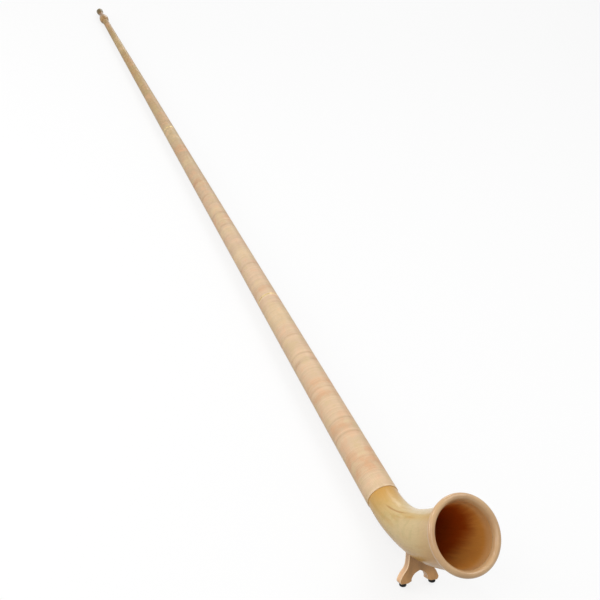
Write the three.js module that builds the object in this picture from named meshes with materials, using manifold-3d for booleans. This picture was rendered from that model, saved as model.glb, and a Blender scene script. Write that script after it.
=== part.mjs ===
// Alphorn in three pull-apart sections, about 3.6 m long, with a carved foot and a turned mouthpiece.
// Every wooden section is two hollowed halves glued together and bound with rattan.
// Sizes are in millimetres. The horn is drawn along a bore path: s is the distance along it, zero where
// the bend starts, negative back along the straight tube to the player and positive into the bell.

import * as THREE from 'three';
import { mergeVertices } from 'three/addons/utils/BufferGeometryUtils.js';
import Module from 'manifold-3d';

const wasm = await Module();
wasm.setup();

// Bore path
const TUBE_LENGTH = 3108;        // straight tube, from the mouth collar to the bend
const BEND_LEAD = 44;            // straight run that eases into the bend
const BEND_CORNER = 156;         // where the tube axis and the bell axis cross
const BELL_RUN = 225;            // from that corner to the bell's rim, along the bell axis
const BEND_ANGLE = 53;           // degrees between the tube axis and the bell axis

// Section joints, as distances back from the bend
const BELL_JOINT = 817;
const HAND_JOINT = 1954;

// Clearances
const GLUE_LINE = 0.1;           // between the two halves of a section
const FIT = 0.3;                 // clearance of a piece in its seat

// Receiver bush, the metal seat of the mouthpiece
const RECEIVER_R_OUT = 6.7;      // tapered seat, at the player's end
const RECEIVER_R_IN = 6.1;       // tapered seat, at its inner end
const BUSH_WALL = 1.5;
const BUSH_FLANGE_W = 2.8;       // how far the bush's flange stands out past its barrel
const BUSH_FLANGE_T = 1.2;
const BUSH_LENGTH = 38;
const BUSH_R = RECEIVER_R_OUT + BUSH_WALL;
const BUSH_FLANGE_R = BUSH_R + BUSH_FLANGE_W;

// Wood, bore and binding
const WRAP_T = 1.8;              // rattan and the glue line under it
const MOUTH_WALL = 2.5;          // wood wall round the bush
const WRAP_R_BEND = 40.2;        // outer radius of the rattan at the bend
const BORE_R_MOUTH = 6.5;
const BEND_WALL = 7.4;           // wood wall in the bend and the bell
const BELL_END_R = 80;           // outer radius of the wood behind the rim ring
const WRAP_R_MOUTH = BUSH_R + FIT + MOUTH_WALL + WRAP_T;

// How the bell's outer radius grows: share of the bend and bell's length, share of the growth
const FLARE_SHARES = [[0, 0], [0.15, 0.05], [0.3, 0.137], [0.43, 0.28], [0.55, 0.44], [0.75, 0.663],
  [0.9, 0.83], [1, 1]];

// Wound end of the bell section's binding
const WOUND_TURNS = 24;
const WOUND_PITCH = 3.7;
const STRAND_GAP = 0.45;         // between neighbouring turns
const STRAND_STEPS = 20;         // steps in one turn
const STRAND_EDGE_SHARE = 0.55;  // height of the strand's edge, as a share of its crown

// Rim ring
const RIM_BEAD_R = 8.4;          // radius of the half-round moulding
const RIM_INSET = 0.2;           // of the moulding's centre line from the wood's outer edge
const RIM_SEAT = 5;              // from the moulding's centre plane back to its seat on the wood
const RIM_STEPS = 12;
const RIM_MID_R = BELL_END_R - RIM_INSET;

// Pull-apart joints: a metal tenon on the upper section slides into a metal socket in the lower one
const TENON_T = 1.6;
const TENON_OUT = 50;            // length that enters the socket
const TENON_IN = 42;             // length held in the wood
const SOCKET_T = 1;
const SLIP = 0.4;                // running clearance between tenon and socket
const FLANGE_T = 1.5;            // collar that covers the section's end
const JOINT_GAP = 0.3;           // between the two closed flanges
const SEAL_GROOVE_DEPTH = 0.8;
const SEAL_GROOVE_W = 1.6;
const SEAL_D = 0.9;
const SEAL_FIT = 0.1;            // between a seal and its groove's floor
const SEAL_FIRST = 12;           // from the joint to the first groove
const SEAL_SPACING = 24;

// Mouth collar, fullest near the tube: share of its length, share of its swell
const COLLAR_LENGTH = 40;
const COLLAR_OVER_TUBE = 20;     // how far the tube reaches into the collar
const COLLAR_LIP = 0.8;          // how far the collar's ends stand out past the binding
const COLLAR_SWELL = 6.4;
const COLLAR_SHARES = [[0, 0], [0.1, 0.34], [0.25, 0.65], [0.45, 0.88], [0.65, 0.99], [0.78, 1],
  [0.9, 0.8], [0.97, 0.42], [1, 0]];
const COLLAR_END_R = WRAP_R_MOUTH + COLLAR_LIP;

// Mouthpiece: the outside of the cup and its bowl are shares of its length or depth and of its radius
const CUP_MOUTH_R = 9.2;         // opening of the cup at its lip
const CUP_WALL = 5.6;
const CUP_LENGTH = 40;
const CUP_DEPTH = 24;
const CUP_SHARES = [[0.08, 1], [0.2, 0.97], [0.4, 0.86], [0.6, 0.66], [0.8, 0.3], [0.92, 0.08]];
const BOWL_SHARES = [[0.15, 0.97], [0.4, 0.86], [0.65, 0.62], [0.85, 0.3], [1, 0]];
const RIM_ROUND = 2.4;
const THROAT_R = 2.6;
const NECK_R = 7;
const NECK_BEAD_H = 1.6;
const NECK_BEAD_W = 5;
const NECK_BEAD_SHARE = 0.62;    // place of the bead between the cup and the receiver
const MOUTHPIECE_OUT = 88;       // from the receiver to the lip
const SHANK_IN = 34;
const SHANK_BORE_R = 4.1;

// Foot
const FOOT_RAKE = 28;            // degrees, so that the foot stands upright when the horn is played
const FOOT_BACK = 185.4;         // along the bore path, from the rim back to the foot
const FOOT_H = 61.7;             // from the pad centres up to the bell's underside
const FOOT_OVER = 22.3;          // height of the sawn board above that, before it is cut to the bell
const FOOT_T = 18;
const FOOT_EDGE = 1.6;           // rounding of the carved edges
const FOOT_WAIST = 30;           // half width of the neck under the bell
const FOOT_ARCH_H = 32;
const PAD_Y = 38;
const PAD_R = 8.3;
const PAD_FLAT_R = 4.8;
const PAD_H = 8;
const PAD_STEM_R = 3;
const PAD_STEM_H = 7;
const HOOF_LIP_OUT = 3.7;        // hoof beside the pad, on its outer side
const HOOF_LIP_IN = 9.2;         // the same on its inner side
const HOOF_RISE = 4.2;           // of the hoof's slanted edges
const DOWEL_R = 3;
const DOWEL_Y = 15;
const DOWEL_IN_FOOT = 18;
const DOWEL_DEPTH_SHARE = 0.7;   // of the bell's wall that the dowel enters
// Leg: share of its splay, share of its height. Arch: share of its half width, share of its height.
const LEG_SHARES = [[1, 0.06], [0.64, 0.24], [0.17, 0.41], [0, 0.62], [0, 1]];
const ARCH_SHARES = [[0, 1], [0.5, 0.8], [0.82, 0.55], [1, 0.25]];
// Pad: share of the way from its flat end to its full radius, share of its height from the middle.
const PAD_SHARES = [[0.6, -0.34], [0.92, -0.12], [1, 0.14]];

// Facets
const SEGMENTS = 32;
const RING_SEGMENTS = 48;
const SMALL_SEGMENTS = 24;
const BEND_STATIONS = 15;
const CURVE_STEPS = 9;           // of each curve in the foot's outline
const OVERRUN = 5;               // how far a cutting solid passes a surface

const wood = new THREE.MeshStandardMaterial({ color: 0xcdb487, roughness: 0.25 });
const rimWood = new THREE.MeshStandardMaterial({ color: 0xcda98a, roughness: 0.3 });
const footWood = new THREE.MeshStandardMaterial({ color: 0xa9805a, roughness: 0.45 });
const rattan = new THREE.MeshStandardMaterial({ color: 0xdcbf98, roughness: 0.4 });
const turnedWood = new THREE.MeshStandardMaterial({ color: 0x6b5a32, roughness: 0.2 });
const brass = new THREE.MeshStandardMaterial({ color: 0xb9a069, roughness: 0.3, metalness: 1 });
const rubber = new THREE.MeshStandardMaterial({ color: 0x111111, roughness: 0.7 });

const rad = THREE.MathUtils.degToRad;
const lerp = THREE.MathUtils.lerp;

// The bend and bell follow a curve that leaves the tube axis and ends square to the rim.
const bellAxis = new THREE.Vector3(Math.cos(rad(BEND_ANGLE)), 0, Math.sin(rad(BEND_ANGLE)));
const corner = new THREE.Vector3(BEND_CORNER, 0, 0);
const bendCurve = new THREE.CubicBezierCurve3(
  new THREE.Vector3(0, 0, 0),
  new THREE.Vector3(BEND_LEAD, 0, 0),
  corner,
  corner.clone().addScaledVector(bellAxis, BELL_RUN));
const BELL_LENGTH = bendCurve.getLength();

// Centre, direction and upward normal of the bore path at s, running straight past both ends.
function pathAt(s) {
  const u = THREE.MathUtils.clamp(s / BELL_LENGTH, 0, 1);
  const centre = bendCurve.getPointAt(u);
  const along = bendCurve.getTangentAt(u);
  centre.addScaledVector(along, s - u * BELL_LENGTH);
  const up = new THREE.Vector3(-along.z, 0, along.x);
  return { centre, along, up };
}

// Smooth curve through a table of [share, value] rows.
function throughTable(table, t) {
  const last = table.length - 2;
  let i = 0;
  while (i < last && t > table[i + 1][0]) i += 1;
  const slope = (a, b) => (table[b][1] - table[a][1]) / (table[b][0] - table[a][0]);
  const width = table[i + 1][0] - table[i][0];
  const m0 = i > 0 ? slope(i - 1, i + 1) : slope(i, i + 1);
  const m1 = i < last ? slope(i, i + 2) : slope(i, i + 1);
  const x = (t - table[i][0]) / width;
  const h = x * x * (3 - 2 * x);
  return lerp(table[i][1], table[i + 1][1], h)
    + width * x * (1 - x) * (m0 * (1 - x) - m1 * x);
}

// Radii of the horn at s.
const tubeShare = (s) => 1 + s / TUBE_LENGTH;
const wrapRadius = (s) => lerp(WRAP_R_MOUTH, WRAP_R_BEND, tubeShare(s));
const BEND_WOOD_R = WRAP_R_BEND - WRAP_T;
function woodRadius(s) {
  if (s <= 0) return wrapRadius(s) - WRAP_T;
  return lerp(BEND_WOOD_R, BELL_END_R, throughTable(FLARE_SHARES, s / BELL_LENGTH));
}
function boreRadius(s) {
  if (s <= 0) return lerp(BORE_R_MOUTH, BEND_WOOD_R - BEND_WALL, tubeShare(s));
  return woodRadius(s) - BEND_WALL;
}

// A closed mesh with shared vertices and its faces pointing out.
function closed(geometry) {
  const bare = geometry.index ? geometry : geometry.clone();
  bare.deleteAttribute('normal');
  bare.deleteAttribute('uv');
  const merged = mergeVertices(bare);
  const p = merged.attributes.position;
  const index = merged.index.array;
  const kept = [];
  const a = new THREE.Vector3();
  const b = new THREE.Vector3();
  const c = new THREE.Vector3();
  let volume = 0;
  for (let i = 0; i < index.length; i += 3) {
    const [u, v, w] = [index[i], index[i + 1], index[i + 2]];
    if (u === v || v === w || w === u) continue;
    kept.push(u, v, w);
    a.fromBufferAttribute(p, u);
    b.fromBufferAttribute(p, v);
    c.fromBufferAttribute(p, w);
    volume += a.dot(b.cross(c));
  }
  if (volume < 0) kept.reverse();
  merged.setIndex(kept);
  return merged;
}

const toSolid = (geometry) => {
  const g = closed(geometry);
  return new wasm.Manifold(new wasm.Mesh({
    numProp: 3,
    vertProperties: g.attributes.position.array,
    triVerts: Uint32Array.from(g.index.array),
  }));
};

function fromSolid(solid) {
  const mesh = solid.getMesh();
  const g = new THREE.BufferGeometry();
  g.setAttribute('position', new THREE.BufferAttribute(mesh.vertProperties, 3));
  g.setIndex(new THREE.BufferAttribute(mesh.triVerts, 1));
  return g;
}

// Turned piece on the straight tube: a closed profile of [s, radius] points, revolved about the axis.
function turned(profile, segments = SEGMENTS) {
  const points = [...profile, profile[0]].map(([s, r]) => new THREE.Vector2(r, s));
  return new THREE.LatheGeometry(points, segments).rotateZ(-Math.PI / 2);
}

// The same closed profile carried along the bore path, through the bend.
function turnedOnPath(profile, segments = SEGMENTS) {
  const position = [];
  for (const [s, r] of profile) {
    const { centre, up } = pathAt(s);
    for (let k = 0; k < segments; k += 1) {
      const turn = 2 * Math.PI * k / segments;
      const rise = r * Math.cos(turn);
      position.push(centre.x + rise * up.x, r * Math.sin(turn), centre.z + rise * up.z);
    }
  }
  return ringsToGeometry(position, profile.length, segments, true);
}

// Skins rings of points; the last ring joins the first where the profile closes on itself.
function ringsToGeometry(position, rings, perRing, loops) {
  const index = [];
  const bands = loops ? rings : rings - 1;
  for (let i = 0; i < bands; i += 1) {
    const here = i * perRing;
    const next = (i + 1) % rings * perRing;
    for (let k = 0; k < perRing; k += 1) {
      const m = (k + 1) % perRing;
      index.push(here + k, next + k, next + m, here + k, next + m, here + m);
    }
  }
  if (!loops) {
    const end = (rings - 1) * perRing;
    for (let k = 1; k < perRing - 1; k += 1) {
      index.push(0, k, k + 1);
      index.push(end, end + k + 1, end + k);
    }
  }
  const g = new THREE.BufferGeometry();
  g.setAttribute('position', new THREE.Float32BufferAttribute(position, 3));
  g.setIndex(index);
  return g;
}

const horn = new THREE.Group();
const meshes = {};
function add(name, geometry, material) {
  const mesh = new THREE.Mesh(closed(geometry), material);
  mesh.name = name;
  meshes[name] = mesh;
  horn.add(mesh);
}

// A section is sawn along the plane of the bend, hollowed and glued, so it is made as two halves.
const SPAN = TUBE_LENGTH + BELL_LENGTH;
function addHalves(name, solid) {
  for (const [side, sign] of [['left', 1], ['right', -1]]) {
    const keep = new THREE.BoxGeometry(SPAN * 2, SPAN, SPAN * 2);
    keep.translate(-SPAN / 2, sign * (SPAN + GLUE_LINE) / 2, 0);
    add(`${name}_${side}`, fromSolid(solid.intersect(toSolid(keep))), wood);
  }
}

// Pull-apart joints
const bellJoint = -BELL_JOINT;
const handJoint = -HAND_JOINT;
const tenonRadius = (joint) => boreRadius(joint) + TENON_T;
const socketRadius = (joint) => tenonRadius(joint) + SLIP;
const socketOuter = (joint) => socketRadius(joint) + SOCKET_T;
const sectionStart = (joint) => joint + FLANGE_T + FIT;
const sectionEnd = (joint) => joint - JOINT_GAP - FLANGE_T - FIT;
const SOCKET_LENGTH = TENON_OUT + FIT;

function addJoint(joint, upper, lower) {
  const inner = boreRadius(joint);
  const outer = tenonRadius(joint);
  const flange = wrapRadius(joint);
  const closedAt = joint - JOINT_GAP;
  const floor = outer - SEAL_GROOVE_DEPTH;
  const tenon = [
    [closedAt - TENON_IN, inner],
    [closedAt - TENON_IN, outer],
    [closedAt - FLANGE_T, outer],
    [closedAt - FLANGE_T, flange],
    [closedAt, flange],
    [closedAt, outer],
  ];
  ['upper', 'lower'].forEach((place, i) => {
    const groove = joint + SEAL_FIRST + i * SEAL_SPACING;
    tenon.push([groove, outer], [groove, floor]);
    tenon.push([groove + SEAL_GROOVE_W, floor], [groove + SEAL_GROOVE_W, outer]);
    const seal = new THREE.TorusGeometry(floor + SEAL_FIT + SEAL_D / 2, SEAL_D / 2, 6, SMALL_SEGMENTS);
    seal.rotateY(Math.PI / 2);
    seal.translate(groove + SEAL_GROOVE_W / 2, 0, 0);
    add(`${upper}_seal_${place}`, seal, rubber);
  });
  tenon.push([joint + TENON_OUT, outer], [joint + TENON_OUT, inner]);
  add(`${upper}_tenon`, turned(tenon, SMALL_SEGMENTS), brass);
  add(`${lower}_socket`, turned([
    [joint, socketRadius(joint)],
    [joint, flange],
    [joint + FLANGE_T, flange],
    [joint + FLANGE_T, socketOuter(joint)],
    [joint + SOCKET_LENGTH, socketOuter(joint)],
    [joint + SOCKET_LENGTH, socketRadius(joint)],
  ], SMALL_SEGMENTS), brass);
}

// Counterbores of a section, as profile points going down the bore towards the player's end.
const socketSeat = (joint) => {
  const end = joint + SOCKET_LENGTH + FIT;
  return [
    [end, boreRadius(end)],
    [end, socketOuter(joint) + FIT],
    [sectionStart(joint), socketOuter(joint) + FIT],
  ];
};
const tenonSeat = (joint) => {
  const end = joint - JOINT_GAP - TENON_IN - FIT;
  return [
    [sectionEnd(joint), tenonRadius(joint) + FIT],
    [end, tenonRadius(joint) + FIT],
    [end, boreRadius(end)],
  ];
};

// Bell section: one curved trunk from the joint to the rim
const rimSeat = BELL_LENGTH - RIM_SEAT;
const stations = Array.from({ length: BEND_STATIONS }, (_, i) => rimSeat * i / (BEND_STATIONS - 1));
const outerSkin = stations.map((s) => [s, woodRadius(s)]);
const innerSkin = stations.map((s) => [s, boreRadius(s)]).reverse();
const bellTrunk = turnedOnPath([
  [sectionStart(bellJoint), woodRadius(sectionStart(bellJoint))],
  ...outerSkin,
  ...innerSkin,
  ...socketSeat(bellJoint),
]);

// The foot's own axes are across, to the horn's right, up, and backward. Its origin is between the
// pad centres, straight below the point of the bell's underside that the foot carries.
const footUp = new THREE.Vector3(-Math.sin(rad(FOOT_RAKE)), 0, Math.cos(rad(FOOT_RAKE)));
const footBack = new THREE.Vector3(-Math.cos(rad(FOOT_RAKE)), 0, -Math.sin(rad(FOOT_RAKE)));
const footStation = BELL_LENGTH - FOOT_BACK;
const footPath = pathAt(footStation);
const footOrigin = footPath.centre.clone()
  .addScaledVector(footPath.up, -woodRadius(footStation))
  .addScaledVector(footUp, -FOOT_H);
const footPlace = new THREE.Matrix4()
  .makeBasis(new THREE.Vector3(0, -1, 0), footUp, footBack)
  .setPosition(footOrigin);
const onFoot = (geometry) => geometry.applyMatrix4(footPlace);
const PAD_SEAT = PAD_H / 2;      // height of the hoof's underside above the pad centres

// Height above the pad centres at which the foot's upward axis, moved across, meets the bell.
function skinHeight(across, inset) {
  let low = 0;
  let high = FOOT_H + BELL_END_R;
  const point = new THREE.Vector3();
  const isInside = () => stations.some((s) => {
    const { centre, along } = pathAt(s);
    const offset = point.clone().sub(centre);
    const ahead = offset.dot(along);
    const there = THREE.MathUtils.clamp(s + ahead, 0, rimSeat);
    return point.distanceTo(pathAt(there).centre) < woodRadius(there) - inset;
  });
  for (let pass = 0; pass < 24; pass += 1) {
    const middle = (low + high) / 2;
    point.copy(footOrigin).addScaledVector(footUp, middle);
    point.y = across;
    if (isInside()) high = middle;
    else low = middle;
  }
  return low;
}
const DOWEL_LOW = skinHeight(DOWEL_Y, 0) - DOWEL_IN_FOOT;
const DOWEL_HIGH = skinHeight(DOWEL_Y, BEND_WALL * DOWEL_DEPTH_SHARE);

// A peg along the foot's upward axis, from one height to another.
function peg(radius, x, low, high) {
  const g = new THREE.CylinderGeometry(radius, radius, high - low, 16);
  g.translate(x, (low + high) / 2, 0);
  return onFoot(g);
}

let trunk = toSolid(bellTrunk);
for (const side of [1, -1]) {
  trunk = trunk.subtract(toSolid(peg(DOWEL_R + FIT, side * DOWEL_Y, DOWEL_LOW, DOWEL_HIGH + FIT)));
}
addHalves('bell_shell', trunk);

// Middle and hand sections
const addTube = (name, start, end, seats) => addHalves(name, toSolid(turned([
  [start, woodRadius(start)],
  [end, woodRadius(end)],
  ...seats,
])));
addTube('middle_shell', sectionStart(handJoint), sectionEnd(bellJoint),
  [...tenonSeat(bellJoint), ...socketSeat(handJoint)]);

const tubeTop = -TUBE_LENGTH;
const handTop = tubeTop - COLLAR_OVER_TUBE;
const collarTop = tubeTop - COLLAR_LENGTH;
const bushEnd = collarTop + BUSH_LENGTH;
addTube('hand_shell', handTop, sectionEnd(handJoint), [
  ...tenonSeat(handJoint),
  [bushEnd + FIT, boreRadius(bushEnd)],
  [bushEnd + FIT, BUSH_R + FIT],
  [handTop, BUSH_R + FIT],
]);

addJoint(bellJoint, 'middle', 'bell');
addJoint(handJoint, 'hand', 'middle');

// Rattan binding: a sleeve on each section, and counted turns where the binding ends at the bend
const sleeve = (start, end) => turned([
  [start, woodRadius(start) + FIT],
  [start, wrapRadius(start)],
  [end, wrapRadius(end)],
  [end, woodRadius(end) + FIT],
]);
const WOUND_LENGTH = WOUND_TURNS * WOUND_PITCH;
add('hand_wrap', sleeve(tubeTop + FIT, sectionEnd(handJoint)), rattan);
add('middle_wrap', sleeve(sectionStart(handJoint), sectionEnd(bellJoint)), rattan);
add('bell_wrap', sleeve(sectionStart(bellJoint), -WOUND_LENGTH - STRAND_GAP), rattan);

// One strand, flat below and crowned above, wound side by side round the tube.
function windingStrand() {
  const half = (WOUND_PITCH - STRAND_GAP) / 2;
  const steps = (WOUND_TURNS - 1) * STRAND_STEPS;
  const flatten = 1 / Math.cos(Math.PI / STRAND_STEPS);
  const position = [];
  const sections = [];
  for (let i = 0; i <= steps; i += 1) {
    const turn = 2 * Math.PI * i / STRAND_STEPS;
    const s = -WOUND_LENGTH + WOUND_PITCH / 2 + WOUND_PITCH * i / STRAND_STEPS;
    const base = (woodRadius(s) + FIT) * flatten;
    const crown = wrapRadius(s) - base;
    const section = [
      [-half, 0],
      [half, 0],
      [half, crown * STRAND_EDGE_SHARE],
      [0, crown],
      [-half, crown * STRAND_EDGE_SHARE],
    ].map(([along, high]) => new THREE.Vector3(
      s + along, (base + high) * Math.sin(turn), (base + high) * Math.cos(turn)));
    section.forEach((p) => position.push(p.x, p.y, p.z));
    sections.push(section);
  }
  let least = Infinity;
  for (let i = 0; i + STRAND_STEPS < sections.length; i += 1) {
    for (const a of sections[i]) {
      for (const b of sections[i + STRAND_STEPS]) least = Math.min(least, a.distanceTo(b));
    }
  }
  console.log(`bell_wrap_end: least gap between turns ${least.toFixed(2)} mm`);
  return ringsToGeometry(position, sections.length, sections[0].length, false);
}
add('bell_wrap_end', windingStrand(), rattan);

// Rim ring: a half-round moulding seated on the bell's end grain
const beadStart = Math.acos(-RIM_SEAT / RIM_BEAD_R);
const beadPoints = Array.from({ length: RIM_STEPS + 1 }, (_, i) => {
  const angle = lerp(beadStart, -Math.PI / 2, i / RIM_STEPS);
  return [BELL_LENGTH + RIM_BEAD_R * Math.cos(angle), RIM_MID_R + RIM_BEAD_R * Math.sin(angle)];
});
const ringBack = rimSeat + FIT;
beadPoints[0] = [ringBack, beadPoints[0][1]];
add('rim_ring', turnedOnPath([...beadPoints, [ringBack, boreRadius(rimSeat)]], RING_SEGMENTS), rimWood);

// Mouth collar, a turned bead over the tube's end, and the receiver bush in it
const bead = COLLAR_SHARES.map(([t, share]) => [
  collarTop + COLLAR_LENGTH * t, COLLAR_END_R + COLLAR_SWELL * share]);
add('mouth_collar', turned([
  ...bead,
  [tubeTop, woodRadius(tubeTop) + FIT],
  [handTop - FIT, woodRadius(tubeTop) + FIT],
  [handTop - FIT, BUSH_R + FIT],
  [collarTop, BUSH_R + FIT],
], SMALL_SEGMENTS), turnedWood);
add('receiver_bush', turned([
  [collarTop - FIT - BUSH_FLANGE_T, RECEIVER_R_OUT],
  [collarTop - FIT - BUSH_FLANGE_T, BUSH_FLANGE_R],
  [collarTop - FIT, BUSH_FLANGE_R],
  [collarTop - FIT, BUSH_R],
  [bushEnd, BUSH_R],
  [bushEnd, RECEIVER_R_IN],
], SMALL_SEGMENTS), brass);

// Mouthpiece: lip, cup and shank in one turned piece, with its throat and back bore
const seatTop = collarTop - FIT - BUSH_FLANGE_T;
const lip = seatTop - MOUTHPIECE_OUT;
const shankEnd = seatTop + SHANK_IN;
const receiverAt = (s) => lerp(RECEIVER_R_OUT, RECEIVER_R_IN, (s - seatTop) / (bushEnd - seatTop));
const cupEnd = lip + CUP_LENGTH;
const cupRimR = CUP_MOUTH_R + CUP_WALL;
const neckBeadR = NECK_R + NECK_BEAD_H;
const cupOutside = CUP_SHARES.map(([t, share]) => [
  lip + CUP_LENGTH * t, lerp(NECK_R, cupRimR, share)]);
const bowl = BOWL_SHARES.map(([t, share]) => [
  lip + CUP_DEPTH * t, lerp(THROAT_R, CUP_MOUTH_R, share)]).reverse();
const neckBead = lerp(cupEnd, seatTop, NECK_BEAD_SHARE);
add('mouthpiece', turned([
  [lip, CUP_MOUTH_R + RIM_ROUND / 2],
  [lip, cupRimR - RIM_ROUND],
  ...cupOutside,
  [cupEnd, NECK_R],
  [neckBead - NECK_BEAD_W, NECK_R],
  [neckBead - NECK_BEAD_W / 2, neckBeadR],
  [neckBead + NECK_BEAD_W / 2, neckBeadR],
  [neckBead + NECK_BEAD_W, NECK_R],
  [seatTop - FIT, NECK_R],
  [seatTop - FIT, receiverAt(seatTop) - FIT],
  [shankEnd, receiverAt(shankEnd) - FIT],
  [shankEnd, SHANK_BORE_R],
  ...bowl,
], SMALL_SEGMENTS), turnedWood);

// Foot: a carved board with two splayed legs, cut to the underside of the bell. Its outline runs from
// the top of the arch round the right hoof to the board's top, and is mirrored for the left.
const FOOT_TOP = FOOT_H + FOOT_OVER;
const HOOF_H = PAD_SEAT + FIT + HOOF_RISE;
const hoofOut = PAD_Y + PAD_R + HOOF_LIP_OUT;
const hoofIn = PAD_Y - PAD_R - HOOF_LIP_IN;
const smooth = (points) => new THREE.SplineCurve(points).getPoints(CURVE_STEPS);
const archSide = smooth(ARCH_SHARES.map(([across, up]) => new THREE.Vector2(
  hoofIn * across, lerp(HOOF_H, FOOT_ARCH_H, up))));
const legSide = smooth(LEG_SHARES.map(([splay, up]) => new THREE.Vector2(
  lerp(FOOT_WAIST, hoofOut, splay), lerp(HOOF_H, FOOT_TOP, up))));
const rightSide = [
  ...archSide,
  new THREE.Vector2(hoofIn, HOOF_H),
  new THREE.Vector2(PAD_Y - PAD_R - FIT, PAD_SEAT + FIT),
  new THREE.Vector2(PAD_Y + PAD_R + FIT, PAD_SEAT + FIT),
  new THREE.Vector2(hoofOut, HOOF_H),
  ...legSide,
];
const leftSide = rightSide.slice(1).map((p) => new THREE.Vector2(-p.x, p.y)).reverse();
const footShape = new THREE.Shape([...rightSide, ...leftSide]);
const footBlank = new THREE.ExtrudeGeometry(footShape, {
  depth: FOOT_T - 2 * FOOT_EDGE,
  bevelEnabled: true,
  bevelThickness: FOOT_EDGE,
  bevelSize: FOOT_EDGE,
  bevelOffset: -FOOT_EDGE,
  bevelSegments: 2,
});
footBlank.translate(0, 0, FOOT_EDGE - FOOT_T / 2);
const bellOutline = turnedOnPath([
  [0, 0],
  ...outerSkin.map(([s, r]) => [s, r + FIT]),
  [rimSeat, 0],
]);
let foot = toSolid(onFoot(footBlank)).subtract(toSolid(bellOutline));
for (const side of [1, -1]) {
  const dowelHole = peg(DOWEL_R + FIT, side * DOWEL_Y, DOWEL_LOW - FIT, DOWEL_HIGH + OVERRUN);
  const stemHole = peg(PAD_STEM_R + FIT, side * PAD_Y, 0, PAD_SEAT + PAD_STEM_H + FIT);
  foot = foot.subtract(toSolid(dowelHole)).subtract(toSolid(stemHole));
}
add('foot_board', fromSolid(foot), footWood);

// Dowels and push-in rubber pads
const padProfile = [
  [0, -PAD_SEAT],
  [PAD_FLAT_R, -PAD_SEAT],
  ...PAD_SHARES.map(([out, up]) => [lerp(PAD_FLAT_R, PAD_R, out), PAD_H * up]),
  [PAD_R, PAD_SEAT],
  [PAD_STEM_R, PAD_SEAT],
  [PAD_STEM_R, PAD_SEAT + PAD_STEM_H],
  [0, PAD_SEAT + PAD_STEM_H],
].map(([r, y]) => new THREE.Vector2(r, y));
for (const [name, side] of [['left', -1], ['right', 1]]) {
  add(`foot_dowel_${name}`, peg(DOWEL_R, side * DOWEL_Y, DOWEL_LOW, DOWEL_HIGH), footWood);
  const pad = new THREE.LatheGeometry(padProfile, SMALL_SEGMENTS).translate(side * PAD_Y, 0, 0);
  add(`pad_${name}`, onFoot(pad), rubber);
}

// The horn lies on its two pads and its mouth collar, so it is tipped until both touch the ground.
const lowest = (names, tilt) => {
  let least = Infinity;
  for (const name of names) {
    const p = meshes[name].geometry.attributes.position;
    for (let i = 0; i < p.count; i += 1) {
      least = Math.min(least, p.getX(i) * Math.sin(tilt) + p.getZ(i) * Math.cos(tilt));
    }
  }
  return least;
};
let tilt = 0;
for (let pass = 0; pass < 6; pass += 1) {
  const rise = lowest(['mouth_collar', 'mouthpiece'], tilt) - lowest(['pad_left', 'pad_right'], tilt);
  tilt += rise / (TUBE_LENGTH + footOrigin.x);
}
horn.rotation.y = -tilt;

// The origin is at the middle of the part's box, on the ground.
const alphorn = new THREE.Group();
alphorn.add(horn);
alphorn.updateMatrixWorld(true);
const box = new THREE.Box3();
horn.children.forEach((mesh) => box.expandByObject(mesh, true));
horn.position.set(-(box.min.x + box.max.x) / 2, -(box.min.y + box.max.y) / 2, -box.min.z);

export default alphorn;
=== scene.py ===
# %% [markdown]
# # An alphorn
# This lesson dresses the solid model of an alphorn, a wooden horn 3.6 m long. The solid model is a fixed
# frame: it says where every piece is and how the sections pull apart. Each step below models one piece
# of the real horn on that frame, or mixes one of its finishes.

# %% Load the frame
import math
import bpy
from mathutils import Matrix, Vector


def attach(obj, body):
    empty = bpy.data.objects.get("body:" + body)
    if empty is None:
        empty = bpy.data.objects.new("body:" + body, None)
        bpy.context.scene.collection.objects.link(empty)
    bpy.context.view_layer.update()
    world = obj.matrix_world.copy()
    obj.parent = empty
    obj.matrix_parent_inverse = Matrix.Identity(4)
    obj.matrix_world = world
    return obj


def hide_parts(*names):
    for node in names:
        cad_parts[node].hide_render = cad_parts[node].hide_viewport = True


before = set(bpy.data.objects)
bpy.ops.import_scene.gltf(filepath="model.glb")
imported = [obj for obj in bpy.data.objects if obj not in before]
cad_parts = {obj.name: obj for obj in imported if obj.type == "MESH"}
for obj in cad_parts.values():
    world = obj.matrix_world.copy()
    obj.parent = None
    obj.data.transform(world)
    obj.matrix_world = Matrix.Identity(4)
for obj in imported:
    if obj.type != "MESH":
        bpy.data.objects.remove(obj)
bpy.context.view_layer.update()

print("nodes in the frame:", len(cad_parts))

# %% [markdown]
# ## Where the horn lies
# A horn is easiest to draw straight, so every piece starts with the tube along X: x = 0 where the bend
# starts, negative towards the mouthpiece. One matrix then lays the drawing on the ground, where the
# horn rests on the two pads of its foot and on its mouth collar. Its tilt and the place of the bend are
# those of the solid model.

# %% The horn's own axes
MM = 0.001
REST_TILT = math.asin(0.0102964)
REST_PLACE = (1.4376469, 0, 0.0520906)
ON_GROUND = Matrix.Translation(REST_PLACE) @ Matrix.Rotation(-REST_TILT, 4, "Y")
TUBE = 3.108
BEND_ANGLE = math.radians(53)
BEND_LEAD, BEND_CORNER, BELL_RUN = 0.044, 0.156, 0.225
BELL_JOINT, HAND_JOINT = -0.817, -1.954
print("the bend starts at", ON_GROUND @ Vector((0, 0, 0)))

# %% [markdown]
# ## Camera
# The photograph is taken from in front of the bell and above it, quite near, so the far end of the horn
# looks small. The camera is set first, because everything else is compared through it. Its lens and
# direction were fitted to the ellipse of the rim and to both outlines of the tube.

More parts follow.
